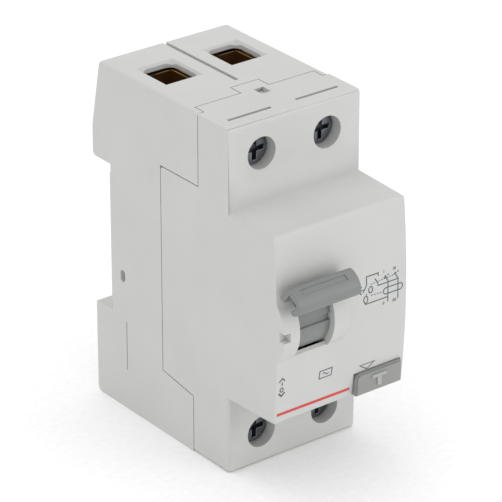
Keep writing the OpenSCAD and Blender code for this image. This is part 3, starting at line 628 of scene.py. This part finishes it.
def wiring_diagram():
    """The circuit in outline: two poles through a ring, the trip coil, and the test loop."""
    line = 0.26
    thin = 0.2
    lines = [
        # the two poles, with their contacts swung to the left
        ([(12.75, 5.3), (12.75, 4.9)], line, False),
        ([(11.8, 4.95), (12.75, 3.75), (12.75, -1.45)], line, False),
        ([(15.6, 5.3), (15.6, 4.9)], line, False),
        ([(14.65, 4.95), (15.6, 3.35), (15.6, -1.45)], line, False),
        # arrow heads of the latching contacts
        ([(11.55, 4.45), (11.95, 5.05), (12.3, 4.75)], thin, False),
        ([(14.4, 4.45), (14.8, 5.05), (15.15, 4.75)], thin, False),
        # the ring that both conductors pass through
        (pill_line(11.45, 16.9, 0.55, 2.05), line, True),
        # the trip line to the relay, and the relay's coil
        (ring_line(7.85, 2.9, 0.55, 0.75), line, True),
        (ring_line(6.5, 0.85, 0.55, 0.85), line, True),
        # the test contact and its loop
        ([(6.65, 1.8), (6.65, 2.3)], thin, False),
        ([(5.75, 2.75), (6.7, 4.3), (6.7, 6.3), (10.0, 6.3), (10.0, 5.6)], line, False),
        ([(9.0, 5.2), (9.9, 4.0), (9.9, 3.3), (15.6, 3.3)], line, False),
        ([(6.4, -0.05), (6.4, -0.25), (12.75, -0.25)], line, False),
        # the push rod of the test contact
        ([(5.4, 4.25), (5.05, 4.25), (5.05, 2.55), (5.4, 2.55)], thin, False),
        ([(5.05, 3.4), (6.1, 3.4)], thin, False),
        # junction dots
        ([(12.6, -0.25), (12.9, -0.25)], 0.42, False),
        ([(15.45, 3.3), (15.75, 3.3)], 0.42, False),
    ]
    lines += [(run, thin, False) for run in dashes((7.9, 4.15), (14.6, 4.6), 9)]
    lines += [(run, thin, False) for run in dashes((7.95, 1.45), (11.3, 1.35), 4)]
    # terminal marks: one, two, three or four short bars
    for x, z, bars in ((11.6, 6.1, 1), (14.3, 6.1, 3), (11.4, -1.5, 2), (14.2, -1.6, 4)):
        for bar in range(bars):
            lines.append(([(x + 0.28 * bar, z - 0.35), (x + 0.28 * bar, z + 0.35)], 0.13, False))
    return printed("wiring_diagram", lines, GREY_INK)


def raised_letter():
    """The raised T of the test function, standing 0.35 mm off the button, coloured paler than the button.
    """
    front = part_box("test_button")[0].y
    lines = [
        ([(8.3, -18.5), (12.3, -18.5)], 0.75, False),
        ([(10.3, -18.87), (10.3, -21.0)], 1.15, False),
    ]
    outer = on_plane(front, 0.35)
    inner = on_plane(front, -0.3)
    # The letter gets its own material, a paler grey than the button's.
    paler_letter = moulded("polyamide_paler_button_letter", "#A9AAA7", "#9FA19E", (0.3, 0.42), 0.4, 0.006)
    piece = marks("button_letter", lines, paler_letter, "button", "button", outer, inner)
    ease = piece.modifiers.new("soft_edges", "BEVEL")
    ease.width = 0.08 * MM
    ease.segments = 2
    ease.limit_method = "ANGLE"
    return piece


# ---- Moulded and machined pieces with eased edges ----


# Edges that turn by more than this are sharp enough to round
SHARP = math.radians(28)
# How near a face, in millimetres, the middle of an edge counts as on it
NEAR = 0.1
# The terminal faces' place along Y, in millimetres
TERMINAL_Y = -44.0
# How far from the middle the nose's ends lie along Z, and how far its raised cheeks reach
NOSE_END_Z = (21.9, 24.0)
CHEEK_Z = 11.0


def body_of(node):
    """The body that a CAD node belongs to."""
    bodies = frame["record"]["behaviour"]["bodies"]
    return next(body for body, held in bodies.items() if node in held)


def outer_edge(middle):
    """Whether an edge lies on the housing's outline: on two of its outer faces, or at the nose's ends.

    The cheeks, which stand in front of the nose's crown beside the toggle, don't count.
    """
    x, y, z = abs(middle.x) / MM, middle.y / MM, abs(middle.z) / MM
    on_side = x > cad_box[1].x / MM - NEAR
    on_end = z > cad_box[1].z / MM - NEAR
    on_face = y < TERMINAL_Y + NEAR
    nose_end = y < TERMINAL_Y - 2 * NEAR and NOSE_END_Z[0] < z < NOSE_END_Z[1]
    on_cheek = y < CROWN_Y / MM - NEAR and z < CHEEK_Z
    return (on_side + on_end + on_face >= 2 or nose_end) and not on_cheek


def eased(node, width, outline=0.0):
    """A copy of a CAD node with its doubles merged and flat faces joined, and its convex edges rounded.

    An edge's share of the width is 0.45 of the least room beside it at its ends over the width, or 1.
    The room is a neighbour's length times the sine of the angle that it makes with the edge.
    """
    source = nodes[node]
    mesh = source.data.copy()
    mesh.name = node + "_eased"
    piece = bpy.data.objects.new(node + "_eased", mesh)
    bpy.context.collection.objects.link(piece)
    form = bmesh.new()
    form.from_mesh(mesh)
    bmesh.ops.remove_doubles(form, verts=form.verts, dist=1e-6)
    bmesh.ops.dissolve_limit(
        form, angle_limit=math.radians(0.6), verts=form.verts, edges=form.edges
    )
    weight = form.edges.layers.float.new("bevel_weight_edge")
    most = max(width, outline)
    for edge in form.edges:
        if edge.calc_face_angle(0.0) < SHARP:
            continue
        edge.smooth = False
        if not edge.is_convex:
            continue
        along = (edge.verts[1].co - edge.verts[0].co).normalized()
        sides = [
            (side.verts[1].co - side.verts[0].co).cross(along).length
            for corner in edge.verts
            for side in corner.link_edges
            if side != edge and side.calc_face_angle(1.0) > math.radians(1.0)
        ]
        room = 0.45 * min([reach for reach in sides if reach > 0.02 * MM], default=1.0)
        wanted = outline if outline and outer_edge((edge.verts[0].co + edge.verts[1].co) / 2) else width
        edge[weight] = min(wanted, room) / most
        edge.smooth = edge[weight] > 0.0
    form.to_mesh(mesh)
    form.free()
    mesh.polygons.foreach_set("use_smooth", np.ones(len(mesh.polygons), bool))
    rounding = piece.modifiers.new("rounded_edges", "BEVEL")
    rounding.limit_method = "WEIGHT"
    rounding.width = most
    rounding.segments = 2
    rounding.use_clamp_overlap = False
    rounding.loop_slide = False
    shading = piece.modifiers.new("even_shading", "WEIGHTED_NORMAL")
    shading.keep_sharp = True
    row = next(s for s in frame["record"]["subparts"] if s["node"] == node)
    mesh.materials.clear()
    mesh.materials.append(FINISHES[row["material_slot"]])
    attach(piece, body_of(node))
    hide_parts(node)
    return piece


# Rounding of each piece's edges in millimetres; the housing's second number is for its outline
EDGES_MM = {
    "front_cover": (0.0, 0.8),
    "rear_base": (0.0, 0.8),
    "toggle_lever": 0.25,
    "test_button": 0.3,
    "rail_clip": 0.2,
    "contact_carrier": 0.15,
    "trip_lever": 0.12,
    "relay_case": 0.2,
    "transformer_case": 0.15,
}
for tag in ("top_left", "top_right", "bottom_left", "bottom_right"):
    EDGES_MM["terminal_screw_" + tag] = 0.12
    EDGES_MM["terminal_clamp_" + tag] = 0.15


SPRUNG = ("test_button_spring", "rail_clip_spring")


def coil_spring(node):
    """A copy of a spring with its own finish, riding on its body, with the CAD node hidden."""
    mesh = nodes[node].data.copy()
    mesh.name = node + "_sprung"
    piece = bpy.data.objects.new(node + "_sprung", mesh)
    bpy.context.collection.objects.link(piece)
    mesh.materials.clear()
    mesh.materials.append(FINISHES["spring_steel"])
    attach(piece, body_of(node))
    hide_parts(node)
    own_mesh(piece)


def springs():
    """The springs behind the test button and on the rail clip."""
    coil_spring("test_button_spring")
    coil_spring("rail_clip_spring")


def dress():
    """Eased copies where edges show, and a finish on every CAD node that stays."""
    for name, width in EDGES_MM.items():
        eased(name, *(np.atleast_1d(width) * MM).tolist())
    for row in frame["record"]["subparts"]:
        if row["node"] in EDGES_MM or row["node"] in SPRUNG:
            continue
        mesh = nodes[row["node"]].data
        mesh.materials.clear()
        mesh.materials.append(COIL_WIRE if row["node"] == "relay_coil" else FINISHES[row["material_slot"]])


# ---- Floor, light and camera ----


def floor():
    """A pale matt floor well beyond the view, under the device's lowest point."""
    material, tree, shader, place = start("paper_matt_white", {"IOR": 1.45, "Roughness": 0.9})
    fibres = add(tree, "ShaderNodeTexNoise", {"Scale": per_mm(1.5), "Detail": 3.0}, {"Vector": place})
    tone = add(
        tree,
        "ShaderNodeValToRGB",
        {"stops": [(0.3, linear("#FAFAFA")), (0.7, linear("#FFFFFF"))]},
        {"Fac": fibres.outputs["Fac"]},
    )
    tree.links.new(tone.outputs["Color"], shader.inputs["Base Color"])
    reach = 6.0
    z = cad_box[0].z - 0.05 * MM
    mesh = bpy.data.meshes.new("studio_floor")
    corners = [(-reach, -reach, z), (reach, -reach, z), (reach, reach, z), (-reach, reach, z)]
    mesh.from_pydata(corners, [], [(0, 1, 2, 3)])
    mesh.materials.append(material)
    plane = bpy.data.objects.new("studio_floor", mesh)
    bpy.context.collection.objects.link(plane)


def soft_light(name, place, size, power, target):
    """A square area light that faces a target."""
    lamp = bpy.data.lights.new(name, "AREA")
    lamp.size = size
    lamp.energy = power
    thing = bpy.data.objects.new(name, lamp)
    thing.location = place
    thing.rotation_mode = "QUATERNION"
    thing.rotation_quaternion = (Vector(target) - Vector(place)).to_track_quat("-Z", "Y")
    bpy.context.collection.objects.link(thing)


def studio():
    """White surroundings, with a large soft light above right and a weaker one in front."""
    world = bpy.data.worlds.new("studio")
    world.use_nodes = True
    sky = world.node_tree.nodes["Background"]
    sky.inputs["Color"].default_value = linear("#FFFFFF")
    sky.inputs["Strength"].default_value = 1.0
    bpy.context.scene.world = world
    bpy.context.scene.view_settings.view_transform = "Standard"
    middle = (cad_box[0] + cad_box[1]) / 2
    soft_light("key_light", (0.5, -0.85, 0.3), 0.5, 1.5, middle)
    soft_light("top_light", (-0.1, 0.15, 0.9), 0.6, 1.0, middle)


def camera():
    """The camera's place and axes: looking from the left front, a little above."""
    lens = bpy.data.cameras.new("view")
    lens.lens = 238.0
    lens.sensor_width = 36.0
    lens.clip_start = 0.02
    lens.clip_end = 50.0
    eye = bpy.data.objects.new("view", lens)
    right = Vector((0.7915, -0.6111, 0.0)).normalized()
    back = Vector((-0.5487, -0.7107, 0.4403)).normalized()
    up = back.cross(right).normalized()
    turn = Matrix((right, up, back)).transposed().to_4x4()
    turn.translation = Vector((-0.4062, -0.5547, 0.3280))
    eye.matrix_world = turn
    bpy.context.collection.objects.link(eye)
    bpy.context.scene.camera = eye


dress()
springs()
red_stripe()
switch_marks()
wave_mark()
test_pointer()
wiring_diagram()
raised_letter()
floor()
studio()
camera()
